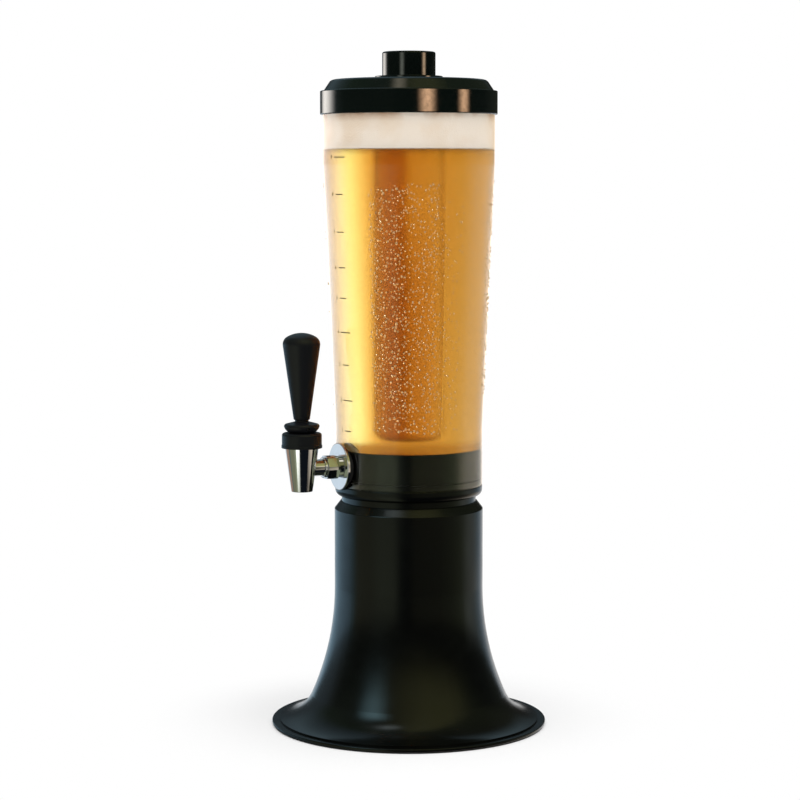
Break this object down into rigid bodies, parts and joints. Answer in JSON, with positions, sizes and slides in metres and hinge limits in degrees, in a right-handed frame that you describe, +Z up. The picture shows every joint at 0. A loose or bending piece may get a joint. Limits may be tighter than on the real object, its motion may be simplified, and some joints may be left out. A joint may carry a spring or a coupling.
{
  "type": "beer tower dispenser",
  "caption": "Tall clear drink tower on a black bell-shaped base, with a lift-off lid, a hanging ice tube with a stopper, and a self-closing lever tap.",
  "frame": {"origin": "middle of the resting face, under the axis of the tank", "axes": "+Z up along the tank's axis, -Y out through the tap (the front), +X to the right of someone facing the tap"},
  "size_m": [0.241, 0.241, 0.5869],
  "materials": {
    "black_gloss_plastic": "glossy moulded black ABS",
    "black_satin_plastic": "satin black nylon",
    "clear_plastic": "clear polished SAN plastic",
    "smoked_plastic": "smoke-tinted polished SAN plastic",
    "chrome_plate": "bright chrome plate on brass",
    "stainless_steel": "turned stainless steel",
    "black_rubber": "matt black rubber",
    "silicone": "translucent beige silicone"
  },
  "bodies": {
    "tower": {"horn_base": "black_gloss_plastic", "foot_ring": "black_rubber", "hub": "black_gloss_plastic", "hub_cup": "black_gloss_plastic", "hub_screws": "stainless_steel", "hub_seal": "black_rubber", "tank": "clear_plastic", "tap_shank": "chrome_plate", "wall_gasket": "black_rubber", "inner_washer": "silicone", "shank_nut": "stainless_steel", "coupling_nut": "chrome_plate", "coupling_washer": "silicone", "tap_body": "chrome_plate", "tap_bonnet": "black_satin_plastic"},
    "lid_set": {"lid": "black_gloss_plastic", "lid_gasket": "silicone"},
    "ice_set": {"ice_tube": "smoked_plastic", "ice_gasket": "silicone"},
    "stopper": {"ice_cap": "black_gloss_plastic", "cap_seal": "silicone"},
    "valve": {"valve_stem": "stainless_steel", "seat_cup": "silicone", "handle_pin": "stainless_steel", "valve_spring": "stainless_steel"},
    "lever": {"tap_lever": "black_satin_plastic", "tap_handle": "black_satin_plastic"}
  },
  "joints": [
    {"name": "lid_lift", "type": "slide", "parent": "tower", "child": "lid_set", "axis": [0, 0, 1], "range_m": [0, 0.32]},
    {"name": "ice_tube_lift", "type": "slide", "parent": "lid_set", "child": "ice_set", "axis": [0, 0, 1], "range_m": [0, 0.33]},
    {"name": "stopper_pull", "type": "slide", "parent": "ice_set", "child": "stopper", "axis": [0, 0, 1], "range_m": [0, 0.05]},
    {"name": "stem_lift", "type": "slide", "parent": "tower", "child": "valve", "axis": [0, 0, 1], "range_m": [0, 0.0053], "deforming": ["valve_spring"]},
    {"name": "lever_tilt", "type": "hinge", "parent": "valve", "child": "lever", "pos_m": [0, -0.102, 0.266], "axis": [1, 0, 0], "range_deg": [0, 28], "stiffness_Nm_per_rad": 1.2, "springref_deg": -5.73}
  ],
  "couplings": [
    {"joint": "stem_lift", "follows": "lever_tilt", "m_per_rad": 0.0108}
  ]
}
